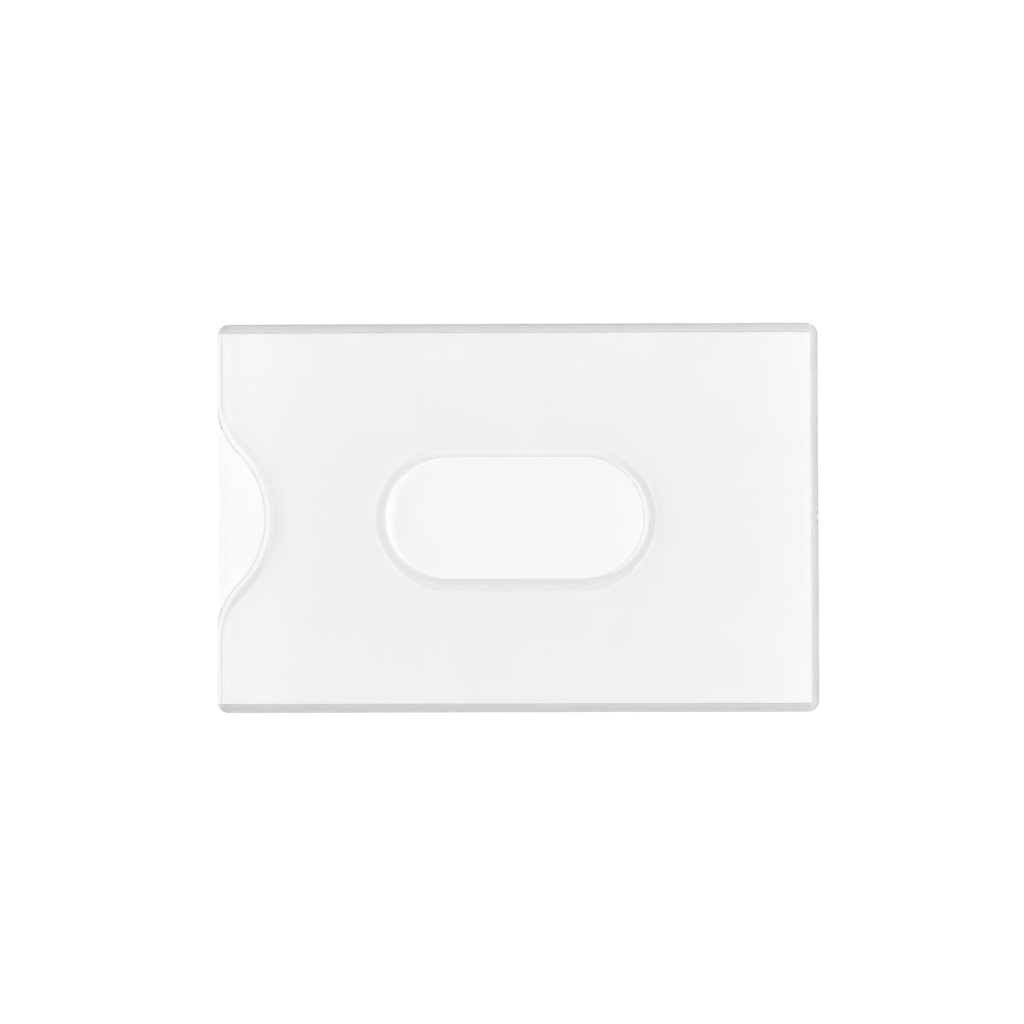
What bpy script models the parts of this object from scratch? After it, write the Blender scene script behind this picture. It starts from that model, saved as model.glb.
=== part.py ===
# Rigid card sleeve: two clear moulded shells, welded together round a flat slot for one card.
# Metres, +Z up. The back face lies on z = 0, centred on the origin. The open mouth faces -X,
# the closed end faces +X, and the front face, with the thumb window, looks up along +Z.

import math

import bmesh
import bpy
from mathutils import Matrix, Vector

# The card that the slot is made for
CARD_LENGTH = 0.0856
CARD_WIDTH = 0.05398
CARD_THICKNESS = 0.00076
CARD_EMBOSSING = 0.00048

# How the card lies in its slot: play at each long side, play over the embossing,
# and how far its end stays inside the mouth
CARD_SIDE_PLAY = 0.0003
CARD_FACE_PLAY = 0.00006
CARD_SETBACK = 0.0015

# Walls and corners of the housing
SIDE_WALL = 0.0012
END_WALL = 0.00095
FRONT_PLATE = 0.001
BACK_PLATE = 0.001
PLAN_CORNER = 0.0017
EDGE_ROUND = 0.00012
SLOT_CORNER = 0.0005
SLOT_FILLET = 0.00008

# Step joint between the shells: the front shell's thin skirt comes down outside
# the back shell's rim, with the width of the weld between them
SKIRT = 0.00045
SKIRT_FOOT = 0.0008
RIM_RISE = 0.0006
WELD_GAP = 0.00005

# Thumb window in the front plate, a little nearer to the mouth than the middle, and the rounded lip
# round it, which is also eased below
WINDOW_LENGTH = 0.0375
WINDOW_WIDTH = 0.01785
WINDOW_SHIFT = -0.0003
WINDOW_LIP_WIDTH = 0.0023
WINDOW_LIP_DEPTH = 0.0007
WINDOW_EASE_BELOW = 0.0002

# Thumb notch in the front plate's mouth edge: one round bay, long eased corners, and its lip
NOTCH_DEPTH = 0.0068
NOTCH_RADIUS = 0.0136
NOTCH_CORNER = 0.0111
NOTCH_RUN_OUT = 0.0003
NOTCH_LIP_WIDTH = 0.0021
NOTCH_LIP_DEPTH = 0.00082
NOTCH_EASE_BELOW = 0.0001
MOUTH_EASE = 0.0008

# Bevels inside the mouth, which guide the card in between the plates: down into the back plate, and a
# slighter one up into the front plate
LEAD_IN_LENGTH = 0.0008
LEAD_IN_DROP = 0.0003
LEAD_IN_RISE = 0.00012

# Two slots through the end wall, and the sunk gate mark between them
VENT_WIDTH = 0.0068
VENT_PITCH = 0.0362
GATE_DIAMETER = 0.0018
GATE_DEPTH = 0.00015

# How far a cutter runs past what it cuts
OVERRUN = 0.0004
LIP_OVERRUN = 0.00004

# Facets of the round forms
CORNER_SEGMENTS = 8
EDGE_SEGMENTS = 3
WINDOW_SEGMENTS = 24
NOTCH_SEGMENTS = 28
NOTCH_CORNER_SEGMENTS = 8
GATE_SEGMENTS = 24
LIP_STEPS = 6
LIP_SWEEP = math.radians(80)
EASE_STEPS = 2

# Heights, from the back face up
SLOT_FLOOR = BACK_PLATE
SLOT_HEIGHT = CARD_THICKNESS + CARD_EMBOSSING + CARD_FACE_PLAY
SLOT_CEILING = SLOT_FLOOR + SLOT_HEIGHT
FRONT_FACE = SLOT_CEILING + FRONT_PLATE
RIM_TOP = SLOT_FLOOR + RIM_RISE

# Lengths along X and widths along Y
SLOT_WIDTH = CARD_WIDTH + 2 * CARD_SIDE_PLAY
SLEEVE_WIDTH = SLOT_WIDTH + 2 * SIDE_WALL
SLEEVE_LENGTH = CARD_LENGTH + CARD_SETBACK + END_WALL
MOUTH_X = -SLEEVE_LENGTH / 2
CLOSED_X = SLEEVE_LENGTH / 2
SLOT_END_X = CLOSED_X - END_WALL

# Clear polystyrene, with the faint satin of an eroded mould
CLEAR_PLASTIC = (0.93, 0.93, 0.93, 1)
PLASTIC_ROUGHNESS = 0.25
PLASTIC_TRANSMISSION = 0.85
PLASTIC_IOR = 1.59
SMOOTH_ANGLE = math.radians(35)


def clear_scene():
    for obj in list(bpy.data.objects):
        bpy.data.objects.remove(obj, do_unlink=True)


def clear_plastic(name):
    """The shells' material."""
    material = bpy.data.materials.new(name)
    material.use_nodes = True
    shader = material.node_tree.nodes["Principled BSDF"]
    shader.inputs["Base Color"].default_value = CLEAR_PLASTIC
    shader.inputs["Roughness"].default_value = PLASTIC_ROUGHNESS
    shader.inputs["Metallic"].default_value = 0
    shader.inputs["Transmission Weight"].default_value = PLASTIC_TRANSMISSION
    shader.inputs["IOR"].default_value = PLASTIC_IOR
    return material


def finish_object(name, bm):
    """Turns a bmesh into a named object with its faces pointing out."""
    bmesh.ops.recalc_face_normals(bm, faces=bm.faces)
    mesh = bpy.data.meshes.new(name)
    bm.to_mesh(mesh)
    bm.free()
    mesh.shade_smooth()
    mesh.set_sharp_from_angle(angle=SMOOTH_ANGLE)
    obj = bpy.data.objects.new(name, mesh)
    bpy.context.scene.collection.objects.link(obj)
    return obj


def as_cutter(obj):
    obj.hide_render = True
    obj.display_type = "WIRE"
    return obj


def add_boolean(obj, other, operation):
    modifier = obj.modifiers.new(f"{operation.lower()} {other.name}", "BOOLEAN")
    modifier.object = other
    modifier.operation = operation
    modifier.solver = "EXACT"


def block(low, high):
    """A box between two corners, as a bmesh."""
    bm = bmesh.new()
    size = Vector(high) - Vector(low)
    middle = (Vector(high) + Vector(low)) / 2
    bmesh.ops.create_cube(bm, size=1, matrix=Matrix.Translation(middle) @ Matrix.Diagonal(size.to_4d()))
    return bm


def upright_edges(bm):
    directions = {e: (e.verts[0].co - e.verts[1].co).normalized() for e in bm.edges}
    return [e for e, along in directions.items() if abs(along.z) > math.cos(SMOOTH_ANGLE)]


def level_edges(bm):
    """The edges between an upright face and a level one."""
    return [
        e
        for e in bm.edges
        if sum(abs(f.normal.z) > math.cos(SMOOTH_ANGLE) for f in e.link_faces) == 1
    ]


def round_edges(bm, edges, radius, segments):
    bmesh.ops.bevel(
        bm, geom=edges, offset=radius, segments=segments, profile=0.5, affect="EDGES", clamp_overlap=True
    )


def loft(name, sections):
    """A closed solid through level loops of points, each with the same count, from the lowest up."""
    bm = bmesh.new()
    rings = []
    for points in sections:
        verts = [bm.verts.new(p) for p in points]
        rings.append([bm.edges.new((a, b)) for a, b in zip(verts, verts[1:] + verts[:1])])
    for lower, upper in zip(rings, rings[1:]):
        bmesh.ops.bridge_loops(bm, edges=lower + upper)
    bmesh.ops.contextual_create(bm, geom=rings[0])
    bmesh.ops.contextual_create(bm, geom=rings[-1])
    return finish_object(name, bm)


def arc(centre_x, centre_y, radius, start, end, segments):
    """Points of an arc, both ends included."""
    angles = [start + (end - start) * i / segments for i in range(segments + 1)]
    return [(centre_x + radius * math.cos(a), centre_y + radius * math.sin(a)) for a in angles]


def lip_profile(width, depth, ease_below):
    """Offset from the opening's edge and height, up a rounded lip: eased below, upright at the edge, and
    nearly level where it runs out through the front face."""
    profile = [(ease_below, SLOT_CEILING - OVERRUN)]
    for i in range(EASE_STEPS + 1):
        a = math.pi / 2 * i / EASE_STEPS
        profile.append((ease_below * (1 - math.sin(a)), SLOT_CEILING + ease_below * (1 - math.cos(a))))
    for i in range(LIP_STEPS + 1):
        a = LIP_SWEEP * i / LIP_STEPS
        offset = width * (1 - math.cos(a))
        height = FRONT_FACE - depth + depth * math.sin(a)
        profile.append((offset, height))
    rise = FRONT_FACE + LIP_OVERRUN - height
    run_out = rise * width * math.sin(LIP_SWEEP) / (depth * math.cos(LIP_SWEEP))
    profile.append((offset + run_out, FRONT_FACE + LIP_OVERRUN))
    profile.append((offset + run_out, FRONT_FACE + OVERRUN))
    return profile


def window_section(offset, height):
    """The stadium of the thumb window, grown by offset, at a height."""
    reach = (WINDOW_LENGTH - WINDOW_WIDTH) / 2
    radius = WINDOW_WIDTH / 2 + offset
    right = arc(WINDOW_SHIFT + reach, 0, radius, -math.pi / 2, math.pi / 2, WINDOW_SEGMENTS)
    left = arc(WINDOW_SHIFT - reach, 0, radius, math.pi / 2, 3 * math.pi / 2, WINDOW_SEGMENTS)
    return [(x, y, height) for x, y in right + left]


def notch_section(offset, height):
    """The notch's bay and the mouth edge beside it, grown into the plate by offset, at a height.
    The bay's arc meets each corner's arc where both have the same tangent."""
    ease = offset * (MOUTH_EASE + NOTCH_RUN_OUT) / NOTCH_LIP_WIDTH - NOTCH_RUN_OUT
    bay = NOTCH_RADIUS + offset
    corner = NOTCH_CORNER - offset
    bay_x = NOTCH_DEPTH - NOTCH_RADIUS
    corner_x = ease + corner
    corner_y = math.sqrt((bay + corner) ** 2 - (corner_x - bay_x) ** 2)
    turn = math.atan2(corner_y, corner_x - bay_x)
    half = arc(bay_x, 0, bay, 0, turn, NOTCH_SEGMENTS // 2)
    half += arc(corner_x, corner_y, corner, turn - math.pi, -math.pi, NOTCH_CORNER_SEGMENTS)[1:]
    half.append((ease, SLEEVE_WIDTH / 2 + OVERRUN))
    half.append((-NOTCH_RUN_OUT - OVERRUN, SLEEVE_WIDTH / 2 + OVERRUN))
    outline = half + [(x, -y) for x, y in reversed(half[1:])]
    return [(MOUTH_X + x, y, height) for x, y in outline]


def make_envelope():
    """The whole sleeve's outer form: a plate with round corners and eased edges."""
    bm = block((MOUTH_X, -SLEEVE_WIDTH / 2, 0), (CLOSED_X, SLEEVE_WIDTH / 2, FRONT_FACE))
    round_edges(bm, upright_edges(bm), PLAN_CORNER, CORNER_SEGMENTS)
    bm.normal_update()
    round_edges(bm, level_edges(bm), EDGE_ROUND, EDGE_SEGMENTS)
    return as_cutter(finish_object("sleeve_envelope", bm))


def make_slot():
    """The card slot, with fillets along its walls and a flare at its mouth."""
    flare_share = (LEAD_IN_LENGTH + OVERRUN) / LEAD_IN_LENGTH
    bm = block((MOUTH_X - OVERRUN, -SLOT_WIDTH / 2, SLOT_FLOOR), (SLOT_END_X, SLOT_WIDTH / 2, SLOT_CEILING))
    round_edges(bm, [e for e in upright_edges(bm) if e.verts[0].co.x > 0], SLOT_CORNER, CORNER_SEGMENTS)
    bm.normal_update()
    beside_walls = [e for e in level_edges(bm) if max(v.co.x for v in e.verts) > MOUTH_X]
    round_edges(bm, beside_walls, SLOT_FILLET, EDGE_SEGMENTS)
    bmesh.ops.bisect_plane(
        bm,
        geom=bm.verts[:] + bm.edges[:] + bm.faces[:],
        plane_co=(MOUTH_X + LEAD_IN_LENGTH, 0, 0),
        plane_no=(1, 0, 0),
    )
    for vert in bm.verts:
        if vert.co.x < MOUTH_X:
            flare = LEAD_IN_RISE if vert.co.z > (SLOT_FLOOR + SLOT_CEILING) / 2 else -LEAD_IN_DROP
            vert.co.z += flare * flare_share
    return as_cutter(finish_object("card_slot", bm))


def make_vents(shell, bottom):
    """The two slots that a shell has through the end wall, from bottom up to the slot's ceiling."""
    cutters = []
    for side in (-1, 1):
        middle = side * VENT_PITCH / 2
        bm = block(
            (SLOT_END_X - SLOT_CORNER, middle - VENT_WIDTH / 2, bottom),
            (CLOSED_X + OVERRUN, middle + VENT_WIDTH / 2, SLOT_CEILING),
        )
        name = f"{shell}_vent_{'left' if side < 0 else 'right'}"
        cutters.append(as_cutter(finish_object(name, bm)))
    return cutters


def make_gate_mark():
    """The round pocket that the gate leaves in the front shell's end face."""
    bm = bmesh.new()
    middle = Matrix.Translation((CLOSED_X, 0, (SKIRT_FOOT + FRONT_FACE) / 2))
    bmesh.ops.create_cone(
        bm,
        cap_ends=True,
        segments=GATE_SEGMENTS,
        radius1=GATE_DIAMETER / 2,
        radius2=GATE_DIAMETER / 2,
        depth=2 * GATE_DEPTH,
        matrix=middle @ Matrix.Rotation(math.pi / 2, 4, "Y"),
    )
    return as_cutter(finish_object("gate_mark", bm))


def make_weld_seat(name, gap):
    """What lies under the weld: the back plate out to the skirt's foot, and the rim inside the skirt.
    gap is how far it is grown, so that the front shell is cut by it and the back shell made of it."""
    reach_x = SLEEVE_LENGTH / 2 + OVERRUN
    reach_y = SLEEVE_WIDTH / 2 + OVERRUN
    bm = block((-reach_x, -reach_y, -OVERRUN), (reach_x, reach_y, SKIRT_FOOT + gap))
    plate = finish_object(name, bm)
    inset = SKIRT + WELD_GAP - gap
    bm = block(
        (MOUTH_X - 2 * OVERRUN, -SLEEVE_WIDTH / 2 + inset, 0),
        (CLOSED_X - inset, SLEEVE_WIDTH / 2 - inset, RIM_TOP + gap),
    )
    corners = [e for e in upright_edges(bm) if e.verts[0].co.x > 0]
    round_edges(bm, corners, PLAN_CORNER - inset, CORNER_SEGMENTS)
    rim = as_cutter(finish_object(f"{name}_rim", bm))
    add_boolean(plate, rim, "UNION")
    return plate


def make_front_shell(envelope, slot):
    """Front plate, three walls and skirt in one moulding. Its end slots are open downwards, as it is
    drawn from the mould that way."""
    shell = envelope.copy()
    shell.data = envelope.data.copy()
    shell.name = "front_shell"
    shell.data.name = "front_shell"
    shell.hide_render = False
    shell.display_type = "TEXTURED"
    bpy.context.scene.collection.objects.link(shell)
    lip = lip_profile(WINDOW_LIP_WIDTH, WINDOW_LIP_DEPTH, WINDOW_EASE_BELOW)
    window = as_cutter(loft("thumb_window", [window_section(*step) for step in lip]))
    lip = lip_profile(NOTCH_LIP_WIDTH, NOTCH_LIP_DEPTH, NOTCH_EASE_BELOW)
    notch = as_cutter(loft("thumb_notch", [notch_section(*step) for step in lip]))
    under = as_cutter(make_weld_seat("weld_seat", WELD_GAP))
    vents = make_vents("front", SKIRT_FOOT)
    for cutter in (under, slot, window, notch, *vents, make_gate_mark()):
        add_boolean(shell, cutter, "DIFFERENCE")
    shell.data.materials.append(clear_plastic("front shell plastic"))
    return shell


def make_back_shell(envelope, slot):
    """Plain back plate with the low rim that the skirt closes over."""
    shell = make_weld_seat("back_shell", 0)
    add_boolean(shell, envelope, "INTERSECT")
    for cutter in (slot, *make_vents("back", SLOT_FLOOR)):
        add_boolean(shell, cutter, "DIFFERENCE")
    shell.data.materials.append(clear_plastic("back shell plastic"))
    return shell


def build_sleeve():
    clear_scene()
    envelope = make_envelope()
    slot = make_slot()
    make_front_shell(envelope, slot)
    make_back_shell(envelope, slot)


build_sleeve()
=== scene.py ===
import math

import bmesh
import bpy
from mathutils import Matrix, Vector


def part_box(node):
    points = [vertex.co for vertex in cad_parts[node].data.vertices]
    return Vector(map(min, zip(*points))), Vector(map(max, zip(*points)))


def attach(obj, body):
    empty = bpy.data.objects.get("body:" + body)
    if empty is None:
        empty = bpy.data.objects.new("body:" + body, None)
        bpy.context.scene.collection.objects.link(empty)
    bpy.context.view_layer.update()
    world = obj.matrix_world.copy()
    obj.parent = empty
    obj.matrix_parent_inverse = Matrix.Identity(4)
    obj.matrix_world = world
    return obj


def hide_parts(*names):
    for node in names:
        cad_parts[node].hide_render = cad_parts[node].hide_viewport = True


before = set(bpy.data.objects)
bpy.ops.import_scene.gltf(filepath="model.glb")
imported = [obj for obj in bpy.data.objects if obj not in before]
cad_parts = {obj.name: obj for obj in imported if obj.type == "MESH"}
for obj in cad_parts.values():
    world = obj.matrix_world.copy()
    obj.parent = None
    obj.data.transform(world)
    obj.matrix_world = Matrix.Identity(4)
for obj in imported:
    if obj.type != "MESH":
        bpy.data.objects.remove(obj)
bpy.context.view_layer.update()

scene = bpy.context.scene

# Front shell
# The plate with the thumb window and the thumb notch, in one moulding with the two long walls, the end
# wall and the thin skirt below them. It is clear polystyrene, injected at a gate in the end wall, and it
# is welded to the back shell inside its skirt.
MM = 0.001
front_low, front_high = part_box("front_shell")
MOUTH_X, CLOSED_X = front_low.x, front_high.x
HALF_WIDTH = front_high.y
FRONT_FACE = front_high.z

SIDE_WALL = 1.2 * MM
END_WALL = 0.95 * MM
PLATE = 1.0 * MM
SLOT_HEIGHT = 1.3 * MM
PLAN_CORNER = 1.7 * MM
EDGE_ROUND = 0.12 * MM
SLOT_CORNER = 0.5 * MM
SLOT_FILLET = 0.08 * MM
SLOT_FLOOR = PLATE
SLOT_CEILING = SLOT_FLOOR + SLOT_HEIGHT
SLOT_END_X = CLOSED_X - END_WALL
SLOT_HALF_WIDTH = HALF_WIDTH - SIDE_WALL

LEAD_IN_LENGTH = 0.8 * MM
LEAD_IN_DROP = 0.3 * MM
LEAD_IN_RISE = 0.12 * MM

# Each lip has its width, its depth below the front face and the ease under its edge.
WINDOW_LENGTH = 37.5 * MM
WINDOW_WIDTH = 17.85 * MM
WINDOW_SHIFT = -0.3 * MM
WINDOW_LIP = (2.3 * MM, 0.7 * MM, 0.2 * MM)
NOTCH_LIP = (2.1 * MM, 0.82 * MM, 0.1 * MM)
NOTCH_DEPTH = 6.8 * MM
NOTCH_RADIUS = 13.6 * MM
NOTCH_CORNER = 11.1 * MM
NOTCH_RUN_OUT = 0.3 * MM
MOUTH_EASE = 0.8 * MM

SKIRT = 0.45 * MM
SKIRT_FOOT = 0.8 * MM
RIM_TOP = 1.6 * MM
WELD_GAP = 0.05 * MM
VENT_WIDTH = 6.8 * MM
VENT_PITCH = 36.2 * MM
GATE_DIAMETER = 1.8 * MM
GATE_DEPTH = 0.15 * MM
OVERRUN = 0.4 * MM

CORNER_SEGMENTS = 18
EDGE_SEGMENTS = 6
WINDOW_SEGMENTS = 64
BAY_SEGMENTS = 40
NOTCH_CORNER_SEGMENTS = 24
GATE_SEGMENTS = 48
LIP_STEPS = 20
LIP_SWEEP = math.radians(87)
SMOOTH_ANGLE = math.radians(30)
LEVEL_FACE = 0.9
SQUARE_FACE = 0.99999
PLASTIC, WELD = 0, 1


def linear(colour):
    """An sRGB hex colour as linear red, green, blue and alpha."""
    shares = [int(colour[i:i + 2], 16) / 255 for i in (0, 2, 4)]
    return [s / 12.92 if s <= 0.04045 else ((s + 0.055) / 1.055) ** 2.4 for s in shares] + [1]


def add_node(tree, kind, settings=None, links=None):
    """Adds a node, gives its sockets and properties their settings, and links other sockets to it."""
    node = tree.nodes.new(kind)
    for name, value in (settings or {}).items():
        if isinstance(name, int) or name in node.inputs:
            node.inputs[name].default_value = value
        else:
            setattr(node, name, value)
    for name, source in (links or {}).items():
        tree.links.new(source, node.inputs[name])
    return node


def block(low, high, finish=PLASTIC):
    """A block between two corners."""
    bm = bmesh.new()
    size = Vector(high) - Vector(low)
    middle = (Vector(high) + Vector(low)) / 2
    bmesh.ops.create_cube(bm, size=1, matrix=Matrix.Translation(middle) @ Matrix.Diagonal(size.to_4d()))
    for face in bm.faces:
        face.material_index = finish
    return bm


def ease(bm, edges, radius, segments):
    bmesh.ops.bevel(
        bm, geom=edges, offset=radius, segments=segments, profile=0.5, affect="EDGES", material=-1
    )
    bm.normal_update()


def upright(bm, least_x=-math.inf):
    """The upright edges, or those of them that lie past a place along the sleeve."""
    lines = [e for e in bm.edges if abs(e.verts[0].co.z - e.verts[1].co.z) > e.calc_length() / 2]
    return [e for e in lines if e.verts[0].co.x > least_x]


def rim_edges(bm, least_x=-math.inf):
    """The edges between an upright face and a level one, or those of them past a place along the sleeve."""
    lines = [e for e in bm.edges if sum(abs(f.normal.z) > LEVEL_FACE for f in e.link_faces) == 1]
    return [e for e in lines if max(v.co.x for v in e.verts) > least_x]


def arc(x, y, radius, start, end, segments):
    angles = [start + (end - start) * i / segments for i in range(segments + 1)]
    return [(x + radius * math.cos(a), y + radius * math.sin(a)) for a in angles]


def lip_profile(width, depth, ease_below):
    """Offset from the opening's edge and height: eased below, upright at the edge, and nearly level where
    the lip runs out into the front face."""
    quarter = math.pi / 2
    turns = [quarter * i / EDGE_SEGMENTS for i in range(EDGE_SEGMENTS + 1)]
    under = [(ease_below * (1 - math.sin(a)), SLOT_CEILING + ease_below * (1 - math.cos(a))) for a in turns]
    turns = [LIP_SWEEP * i / LIP_STEPS for i in range(LIP_STEPS + 1)]
    over = [(width * (1 - math.cos(a)), FRONT_FACE - depth * (1 - math.sin(a))) for a in turns]
    offset, height = over[-1]
    offset += (FRONT_FACE - height) * 2 * width * math.tan(LIP_SWEEP) / depth
    top = 2 * FRONT_FACE - height
    return [(ease_below, SLOT_CEILING - OVERRUN)] + under + over + [(offset, top), (offset, top + OVERRUN)]


def window_outline(offset, height):
    """The window's stadium, grown by the offset."""
    reach = (WINDOW_LENGTH - WINDOW_WIDTH) / 2
    radius = WINDOW_WIDTH / 2 + offset
    quarter = math.pi / 2
    points = arc(WINDOW_SHIFT + reach, 0, radius, -quarter, quarter, WINDOW_SEGMENTS)
    points += arc(WINDOW_SHIFT - reach, 0, radius, quarter, 3 * quarter, WINDOW_SEGMENTS)
    return [(x, y, height) for x, y in points]


def notch_outline(offset, height):
    """The notch's round bay, its two eased corners and the mouth edge beside them, grown by the offset."""
    edge_x = offset * (MOUTH_EASE + NOTCH_RUN_OUT) / NOTCH_LIP[0] - NOTCH_RUN_OUT
    bay = NOTCH_RADIUS + offset
    corner = NOTCH_CORNER - offset
    bay_x = NOTCH_DEPTH - NOTCH_RADIUS
    corner_x = edge_x + corner
    corner_y = math.sqrt((bay + corner) ** 2 - (corner_x - bay_x) ** 2)
    turn = math.atan2(corner_y, corner_x - bay_x)
    half = arc(bay_x, 0, bay, 0, turn, BAY_SEGMENTS)
    half += arc(corner_x, corner_y, corner, turn - math.pi, -math.pi, NOTCH_CORNER_SEGMENTS)[1:]
    half.append((edge_x, HALF_WIDTH + OVERRUN))
    half.append((-NOTCH_RUN_OUT - OVERRUN, HALF_WIDTH + OVERRUN))
    outline = half + [(x, -y) for x, y in reversed(half[1:])]
    return [(MOUTH_X + x, y, height) for x, y in outline]


def lofted(outline, lip):
    """The solid that a lip's profile sweeps round an outline."""
    bm = bmesh.new()
    rings = []
    for offset, height in lip_profile(*lip):
        verts = [bm.verts.new(point) for point in outline(offset, height)]
        rings.append([bm.edges.new(pair) for pair in zip(verts, verts[1:] + verts[:1])])
    for lower, upper in zip(rings, rings[1:]):
        bmesh.ops.bridge_loops(bm, edges=lower + upper)
    for ring in (rings[0], rings[-1]):
        bmesh.ops.contextual_create(bm, geom=ring)
    bmesh.ops.recalc_face_normals(bm, faces=bm.faces)
    return bm


def moulding(name, bm):
    """An object of a bmesh, with room for both finishes."""
    mesh = bpy.data.meshes.new(name)
    bm.to_mesh(mesh)
    bm.free()
    obj = bpy.data.objects.new(name, mesh)
    scene.collection.objects.link(obj)
    for finish in (polystyrene, weld_and_painted_shade):
        mesh.materials.append(finish)
    return obj


def machined(base, *steps):
    """The object, once each step's bmesh is cut from it, joined to it or kept in common with it."""
    tools = []
    for operation, bm in steps:
        tool = moulding("tool", bm)
        modifier = base.modifiers.new("step", "BOOLEAN")
        modifier.object = tool
        modifier.operation = operation
        modifier.solver = "EXACT"
        tools.append(tool)
    bpy.context.view_layer.update()
    shaped = base.evaluated_get(bpy.context.evaluated_depsgraph_get())
    mesh = bpy.data.meshes.new_from_object(shaped)
    base.modifiers.clear()
    base.data = mesh
    mesh.name = base.name
    for tool in tools:
        bpy.data.objects.remove(tool)
    mesh.set_sharp_from_angle(angle=SMOOTH_ANGLE)
    for face in mesh.polygons:
        face.use_smooth = max(abs(n) for n in face.normal) < SQUARE_FACE
    return base


# Polystyrene moulded against a finely eroded steel face is clear with a faint satin: what lies behind it
# stays sharp, and a lamp's mirror image is slightly soft. The flow of the melt leaves low waves in its
# faces. The eroded grain is really finer than 0.05 mm, and is drawn coarser, to show.
POLYSTYRENE_IOR = 1.59
FLOW_SIZE = 9 * MM
FLOW_DEPTH = 0.0024 * MM
GRAIN_SIZE = 0.4 * MM
GRAIN_DEPTH = 0.0003 * MM
polystyrene = bpy.data.materials.new("clear polystyrene, satin moulded")
polystyrene.use_nodes = True
tree = polystyrene.node_tree
shader = tree.nodes["Principled BSDF"]
place = add_node(tree, "ShaderNodeTexCoord")
flow = add_node(tree, "ShaderNodeTexNoise", {"Scale": 1 / FLOW_SIZE, "Detail": 2},
                {"Vector": place.outputs["Object"]})
tint = add_node(tree, "ShaderNodeMix", {"data_type": "RGBA", 6: linear("FBFBFB"), 7: linear("FDFDFD")},
                {0: flow.outputs["Fac"]})
tree.links.new(tint.outputs[2], shader.inputs["Base Color"])
satin = add_node(tree, "ShaderNodeMapRange", {"To Min": 0.04, "To Max": 0.06}, {"Value": flow.outputs["Fac"]})
tree.links.new(satin.outputs["Result"], shader.inputs["Roughness"])
grain = add_node(tree, "ShaderNodeTexNoise", {"Scale": 1 / GRAIN_SIZE, "Detail": 1},
                 {"Vector": place.outputs["Object"]})
waves = add_node(tree, "ShaderNodeMath", {"operation": "MULTIPLY_ADD", 1: FLOW_DEPTH / GRAIN_DEPTH},
                 {0: flow.outputs["Fac"], 2: grain.outputs["Fac"]})
bump = add_node(tree, "ShaderNodeBump", {"Distance": GRAIN_DEPTH}, {"Height": waves.outputs[0]})
tree.links.new(bump.outputs["Normal"], shader.inputs["Normal"])
shader.inputs["IOR"].default_value = POLYSTYRENE_IOR
shader.inputs["Transmission Weight"].default_value = 1

# Where the two shells are welded, the plastic has melted and set again, so the joint is cloudy. Its grey
# also holds painted shade: along the walls it is painted lighter toward the closed end and toward the +Y
# side, and through the end wall it is painted lightest at the inner face and darker outwards. Each step of
# its clearness is a share of the sleeve's length and a level, and the level rises toward +Y by so much for
# each metre.
CLEARNESS_AND_PAINTED_SHADE = ((0, 0.49), (0.987, 0.665), (0.989, 0.95), (1, 0.3))
PAINTED_SHADE_SIDEWAYS = 6.0
CLOUD_SIZE = 1.5 * MM
CLOUD_LEVEL = 0.08
weld_and_painted_shade = bpy.data.materials.new("polystyrene, ultrasonic weld")
weld_and_painted_shade.use_nodes = True
tree = weld_and_painted_shade.node_tree
shader = tree.nodes["Principled BSDF"]
place = add_node(tree, "ShaderNodeTexCoord")
axes = add_node(tree, "ShaderNodeSeparateXYZ", {}, {0: place.outputs["Object"]})
along = add_node(tree, "ShaderNodeMapRange", {"From Min": MOUTH_X, "From Max": CLOSED_X},
                 {"Value": axes.outputs["X"]})
# Painted shade along the sleeve and out through the end wall, on top of the weld's own cloudiness.
clear = add_node(tree, "ShaderNodeValToRGB", {}, {"Fac": along.outputs["Result"]})
steps = clear.color_ramp.elements
for position, share in CLEARNESS_AND_PAINTED_SHADE[1:-1]:
    steps.new(position).color = (share, share, share, 1)
steps[0].color = [CLEARNESS_AND_PAINTED_SHADE[0][1]] * 3 + [1]
steps[-1].color = [CLEARNESS_AND_PAINTED_SHADE[-1][1]] * 3 + [1]
# Painted shade across the side walls: the weld is painted lighter toward the +Y side.
walls = add_node(tree, "ShaderNodeMath", {"operation": "LESS_THAN", 1: SLOT_END_X}, {0: axes.outputs["X"]})
painted_side_shade = add_node(tree, "ShaderNodeMath", {"operation": "MULTIPLY", 1: PAINTED_SHADE_SIDEWAYS}, {0: walls.outputs[0]})
clear = add_node(tree, "ShaderNodeMath", {"operation": "MULTIPLY_ADD"},
                 {0: axes.outputs["Y"], 1: painted_side_shade.outputs[0], 2: clear.outputs[0]})
cloud = add_node(tree, "ShaderNodeTexNoise", {"Scale": 1 / CLOUD_SIZE, "Detail": 2},
                 {"Vector": place.outputs["Object"]})
cloud = add_node(tree, "ShaderNodeMapRange", {"To Min": -CLOUD_LEVEL, "To Max": CLOUD_LEVEL},
                 {"Value": cloud.outputs["Fac"]})
clear = add_node(tree, "ShaderNodeMath", {"operation": "ADD"},
                 {0: clear.outputs[0], 1: cloud.outputs["Result"]})
tint = add_node(tree, "ShaderNodeMix", {"data_type": "RGBA", 6: linear("D6D6D6"), 7: linear("F2F2F2")},
                {0: clear.outputs[0]})
tree.links.new(tint.outputs[2], shader.inputs["Base Color"])
shader.inputs["Roughness"].default_value = 0.3
shader.inputs["IOR"].default_value = POLYSTYRENE_IOR
shader.inputs["Transmission Weight"].default_value = 1


def envelope():
    """The sleeve's outer form: a flat block with round corners and eased edges."""
    bm = block((MOUTH_X, -HALF_WIDTH, 0), (CLOSED_X, HALF_WIDTH, FRONT_FACE))
    ease(bm, upright(bm), PLAN_CORNER, CORNER_SEGMENTS)
    ease(bm, rim_edges(bm), EDGE_ROUND, EDGE_SEGMENTS)
    return bm


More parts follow.
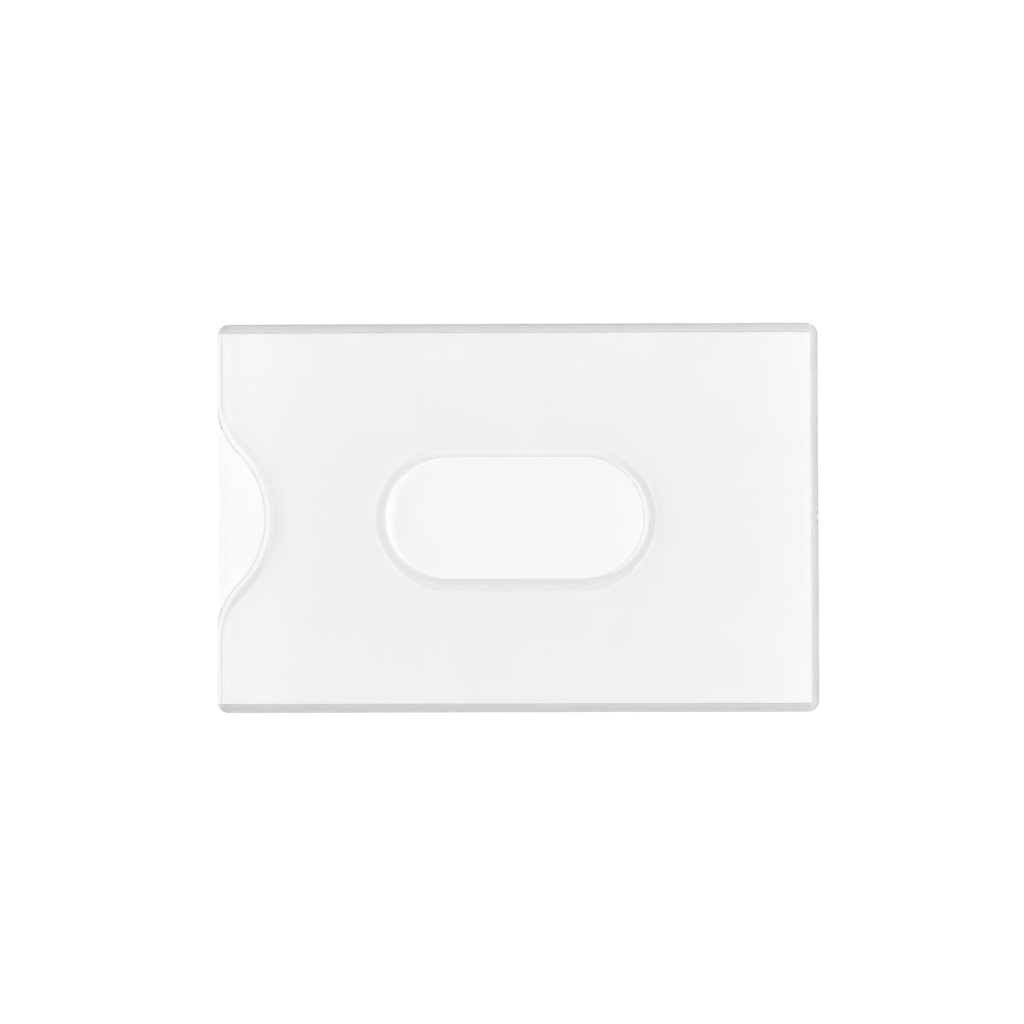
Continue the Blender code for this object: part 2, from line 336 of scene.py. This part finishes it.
def card_slot():
    """The room for the card, with fillets along its walls and a flare at its mouth."""
    low = (MOUTH_X - OVERRUN, -SLOT_HALF_WIDTH, SLOT_FLOOR)
    bm = block(low, (SLOT_END_X, SLOT_HALF_WIDTH, SLOT_CEILING))
    ease(bm, upright(bm, 0), SLOT_CORNER, CORNER_SEGMENTS)
    ease(bm, rim_edges(bm, MOUTH_X), SLOT_FILLET, EDGE_SEGMENTS)
    flare_start = MOUTH_X + LEAD_IN_LENGTH
    geometry = bm.verts[:] + bm.edges[:] + bm.faces[:]
    bmesh.ops.bisect_plane(bm, geom=geometry, plane_co=(flare_start, 0, 0), plane_no=(1, 0, 0))
    for vert in bm.verts:
        if vert.co.x < MOUTH_X:
            flare = LEAD_IN_RISE if vert.co.z > (SLOT_FLOOR + SLOT_CEILING) / 2 else -LEAD_IN_DROP
            vert.co.z += flare * (flare_start - vert.co.x) / LEAD_IN_LENGTH
    return bm


def end_slot(side, bottom):
    """One of the two slots through the end wall."""
    middle = side * VENT_PITCH / 2
    low = (SLOT_END_X - SLOT_CORNER, middle - VENT_WIDTH / 2, bottom)
    return block(low, (CLOSED_X + OVERRUN, middle + VENT_WIDTH / 2, SLOT_CEILING), WELD)


def gate_mark():
    """The shallow round pocket round the gate, in the end face."""
    bm = bmesh.new()
    middle = Matrix.Translation((CLOSED_X, 0, (SKIRT_FOOT + FRONT_FACE) / 2))
    place = middle @ Matrix.Rotation(math.pi / 2, 4, "Y")
    radius = GATE_DIAMETER / 2
    bmesh.ops.create_cone(
        bm, cap_ends=True, segments=GATE_SEGMENTS, radius1=radius, radius2=radius, depth=2 * GATE_DEPTH,
        matrix=place
    )
    return bm


def seat_plate(gap):
    """What lies below the skirt's foot."""
    reach_x, reach_y = CLOSED_X + OVERRUN, HALF_WIDTH + OVERRUN
    return block((-reach_x, -reach_y, -OVERRUN), (reach_x, reach_y, SKIRT_FOOT + gap), WELD)


def seat_rim(gap):
    """What lies inside the skirt."""
    inset = SKIRT + WELD_GAP - gap
    low = (MOUTH_X - 2 * OVERRUN, -HALF_WIDTH + inset, 0)
    bm = block(low, (CLOSED_X - inset, HALF_WIDTH - inset, RIM_TOP + gap), WELD)
    ease(bm, upright(bm, 0), PLAN_CORNER - inset, CORNER_SEGMENTS)
    return bm


front = machined(
    moulding("front_shell_moulding", envelope()),
    ("DIFFERENCE", seat_plate(WELD_GAP)),
    ("DIFFERENCE", seat_rim(WELD_GAP)),
    ("DIFFERENCE", card_slot()),
    ("DIFFERENCE", lofted(window_outline, WINDOW_LIP)),
    ("DIFFERENCE", lofted(notch_outline, NOTCH_LIP)),
    ("DIFFERENCE", end_slot(-1, SKIRT_FOOT)),
    ("DIFFERENCE", end_slot(1, SKIRT_FOOT)),
    ("DIFFERENCE", gate_mark()),
)
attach(front, "root")
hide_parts("front_shell")

# Back shell
# The plain back plate with a low rim on three sides, moulded in the same clear polystyrene. Its rim
# stands inside the front shell's skirt, where the two are welded.
back = machined(
    moulding("back_shell_moulding", seat_plate(0)),
    ("UNION", seat_rim(0)),
    ("INTERSECT", envelope()),
    ("DIFFERENCE", card_slot()),
    ("DIFFERENCE", end_slot(-1, SLOT_FLOOR)),
    ("DIFFERENCE", end_slot(1, SLOT_FLOOR)),
)
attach(back, "root")
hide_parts("back_shell")

# Table and light
# The sleeve lies on a large sheet of matt white paper, in a light tent whose one panel over the table
# is darker round the camera's opening.
SHEET_REACH = 2
SHEET_DROP = 0.02 * MM
place = Matrix.Translation((0, 0, -SHEET_DROP))
bm = bmesh.new()
bmesh.ops.create_grid(bm, x_segments=1, y_segments=1, size=SHEET_REACH, matrix=place)
mesh = bpy.data.meshes.new("table")
bm.to_mesh(mesh)
bm.free()
table = bpy.data.objects.new("table", mesh)
scene.collection.objects.link(table)

# The paper glows white where the camera sees it, and light grey where the plastic mirrors it or lets it
# through. Its own grey is only what it scatters into the sleeve. Its fibres are really about 0.03 mm
# wide, and are drawn coarser, to show.
TABLE_WHITE = 0.92
TABLE_GLOW = 0.798
PULP_SIZE = 12 * MM
FIBRE_SIZE = 0.3 * MM
FIBRE_DEPTH = 0.01 * MM
paper = bpy.data.materials.new("matt white paper")
paper.use_nodes = True
tree = paper.node_tree
shader = tree.nodes["Principled BSDF"]
place = add_node(tree, "ShaderNodeTexCoord")
pulp = add_node(tree, "ShaderNodeTexNoise", {"Scale": 1 / PULP_SIZE, "Detail": 4},
                {"Vector": place.outputs["Object"]})
tint = add_node(tree, "ShaderNodeMix", {"data_type": "RGBA", 6: linear("8C8C8C"), 7: linear("909090")},
                {0: pulp.outputs["Fac"]})
tree.links.new(tint.outputs[2], shader.inputs["Base Color"])
matt = add_node(tree, "ShaderNodeMapRange", {"To Min": 0.85, "To Max": 0.95}, {"Value": pulp.outputs["Fac"]})
tree.links.new(matt.outputs["Result"], shader.inputs["Roughness"])
fibre = add_node(tree, "ShaderNodeTexNoise", {"Scale": 1 / FIBRE_SIZE, "Detail": 3},
                 {"Vector": place.outputs["Object"]})
bump = add_node(tree, "ShaderNodeBump", {"Distance": FIBRE_DEPTH}, {"Height": fibre.outputs["Fac"]})
tree.links.new(bump.outputs["Normal"], shader.inputs["Normal"])
shader.inputs["Specular IOR Level"].default_value = 0
rays = add_node(tree, "ShaderNodeLightPath")
seen = add_node(tree, "ShaderNodeMath", {"operation": "MAXIMUM"},
                {0: rays.outputs["Is Glossy Ray"], 1: rays.outputs["Is Transmission Ray"]})
glow = add_node(tree, "ShaderNodeMath", {"operation": "MULTIPLY", 1: TABLE_GLOW}, {0: seen.outputs[0]})
glow = add_node(tree, "ShaderNodeMath", {"operation": "MULTIPLY_ADD", 1: TABLE_WHITE},
                {0: rays.outputs["Is Camera Ray"], 2: glow.outputs[0]})
tree.links.new(glow.outputs[0], shader.inputs["Emission Strength"])
shader.inputs["Emission Color"].default_value = linear("FFFFFF")
mesh.materials.append(paper)

# The rest of the tent is dim. The panel is lightest toward both ends of the sleeve, and fades out at its
# edges. A long, strong softbox stands at the mouth end, a weak fill at the closed end, and a pale part
# of the ceiling lies past the +Y side. What the camera sees of the tent past the table is white. Places
# in the sky are X and Y of a direction of length 1, and a fade has the place where its level is none and
# the one where it is full.
TENT_LEVEL = 0.08
PANEL_LEVEL = 2.0
PANEL_CENTRE = Vector((-0.0104, 0.045, 0))
PANEL_RISE = (0.06, 0.095, 0.155)
PANEL_EDGES = ((0.125, 0.093), (0.105, 0.074))
# The camera's opening is 1.8 times as long along the sleeve as across it. Each of its steps has a
# distance from its centre and a level.
OPENING_CENTRE = Vector((-0.021, 0.025, 0))
OPENING_SHAPE = Vector((1 / 1.8, 1, 0))
OPENING_STEPS = ((0.02, 0.218), (0.035, 0.255), (0.05, 0.296), (0.065, 0.31), (0.08, 0.383))
# A lamp has its direction, the angles of its edge and its core in degrees, its level and its squeeze.
SOFTBOX = ((-1.15, 0, 1), 28, 6, 2.7, 0.2)
FILL = ((1.035, 0, 1), 28, 6, 0.2, 0.2)
CEILING = ((0, 0.33, 1), 13, 5, 0.8)
world = bpy.data.worlds.new("light tent")
scene.world = world
world.use_nodes = True
tree = world.node_tree
sky = add_node(tree, "ShaderNodeTexCoord")


def faded(value, none, full, level=1):
    """A level that rises smoothly from none to full."""
    lit = add_node(tree, "ShaderNodeMapRange",
                   {"interpolation_type": "SMOOTHSTEP", "From Min": none, "From Max": full, "To Max": level},
                   {"Value": value})
    return lit.outputs["Result"]


def patch(direction, edge, core, level, squeeze=1):
    """A patch of the sky: its full level inside the core's angle, none outside the edge's, and longer
    across the sleeve where its Y is squeezed."""
    squeezed = add_node(tree, "ShaderNodeVectorMath", {"operation": "MULTIPLY", 1: (1, squeeze, 1)},
                        {0: sky.outputs["Generated"]})
    aimed = add_node(tree, "ShaderNodeVectorMath", {"operation": "NORMALIZE"}, {0: squeezed.outputs[0]})
    towards = add_node(tree, "ShaderNodeVectorMath",
                       {"operation": "DOT_PRODUCT", 1: Vector(direction).normalized()},
                       {0: aimed.outputs[0]})
    return faded(towards.outputs["Value"], math.cos(math.radians(edge)), math.cos(math.radians(core)), level)


spread = add_node(tree, "ShaderNodeMapping",
                  {"Scale": OPENING_SHAPE, "Location": -OPENING_CENTRE * OPENING_SHAPE},
                  {"Vector": sky.outputs["Generated"]})
disc = add_node(tree, "ShaderNodeTexGradient", {"gradient_type": "SPHERICAL"}, {"Vector": spread.outputs[0]})
light = add_node(tree, "ShaderNodeValToRGB", {}, {"Fac": disc.outputs["Fac"]})
steps = light.color_ramp.elements
steps.remove(steps[0])
for radius, share in OPENING_STEPS[1:]:
    steps.new(1 - radius).color = (share, share, share, 1)
steps[-1].position = 1 - OPENING_STEPS[0][0]
steps[-1].color = [OPENING_STEPS[0][1]] * 3 + [1]
offset = add_node(tree, "ShaderNodeVectorMath", {"operation": "SUBTRACT", 1: PANEL_CENTRE},
                  {0: sky.outputs["Generated"]})
offset = add_node(tree, "ShaderNodeVectorMath", {"operation": "ABSOLUTE"}, {0: offset.outputs[0]})
offset = add_node(tree, "ShaderNodeSeparateXYZ", {}, {0: offset.outputs[0]})
light = add_node(tree, "ShaderNodeMath", {"operation": "ADD"},
                 {0: light.outputs[0], 1: faded(offset.outputs["X"], *PANEL_RISE)})
for axis, edge in zip("XY", PANEL_EDGES):
    light = add_node(tree, "ShaderNodeMath", {"operation": "MULTIPLY"},
                     {0: light.outputs[0], 1: faded(offset.outputs[axis], *edge)})
light = add_node(tree, "ShaderNodeMath", {"operation": "MULTIPLY_ADD", 1: PANEL_LEVEL, 2: TENT_LEVEL},
                 {0: light.outputs[0]})
for lamp in (SOFTBOX, FILL, CEILING):
    light = add_node(tree, "ShaderNodeMath", {"operation": "ADD"}, {0: light.outputs[0], 1: patch(*lamp)})
rays = add_node(tree, "ShaderNodeLightPath")
light = add_node(tree, "ShaderNodeMath", {"operation": "MAXIMUM"},
                 {0: light.outputs[0], 1: rays.outputs["Is Camera Ray"]})
tree.links.new(light.outputs[0], tree.nodes["Background"].inputs["Color"])

# Camera
# It looks straight down on the front face from half a metre, a degree or two off square.
CAMERA_DISTANCE = 500 * MM
CAMERA_LENS = 119.65
CAMERA_TARGET = Vector((-0.849, 0.877, 1.65)) * MM
turn = Matrix.Rotation(math.radians(-0.142), 3, "Z")
turn = turn @ Matrix.Rotation(math.radians(0.694), 3, "Y") @ Matrix.Rotation(math.radians(1.857), 3, "X")
camera = bpy.data.objects.new("camera", bpy.data.cameras.new("camera"))
scene.collection.objects.link(camera)
camera.data.sensor_width = 36
camera.data.lens = CAMERA_LENS
camera.data.clip_start = 0.01
camera.data.clip_end = 20
camera.rotation_euler = turn.to_euler()
camera.location = CAMERA_TARGET + turn.col[2] * CAMERA_DISTANCE
scene.camera = camera

scene.view_settings.view_transform = "Standard"
# Light runs along inside the clear plates to their edges, so it is followed through many reflections.
REFLECTIONS = 64
scene.cycles.blur_glossy = 0
scene.cycles.max_bounces = REFLECTIONS
scene.cycles.glossy_bounces = REFLECTIONS
scene.cycles.transmission_bounces = REFLECTIONS
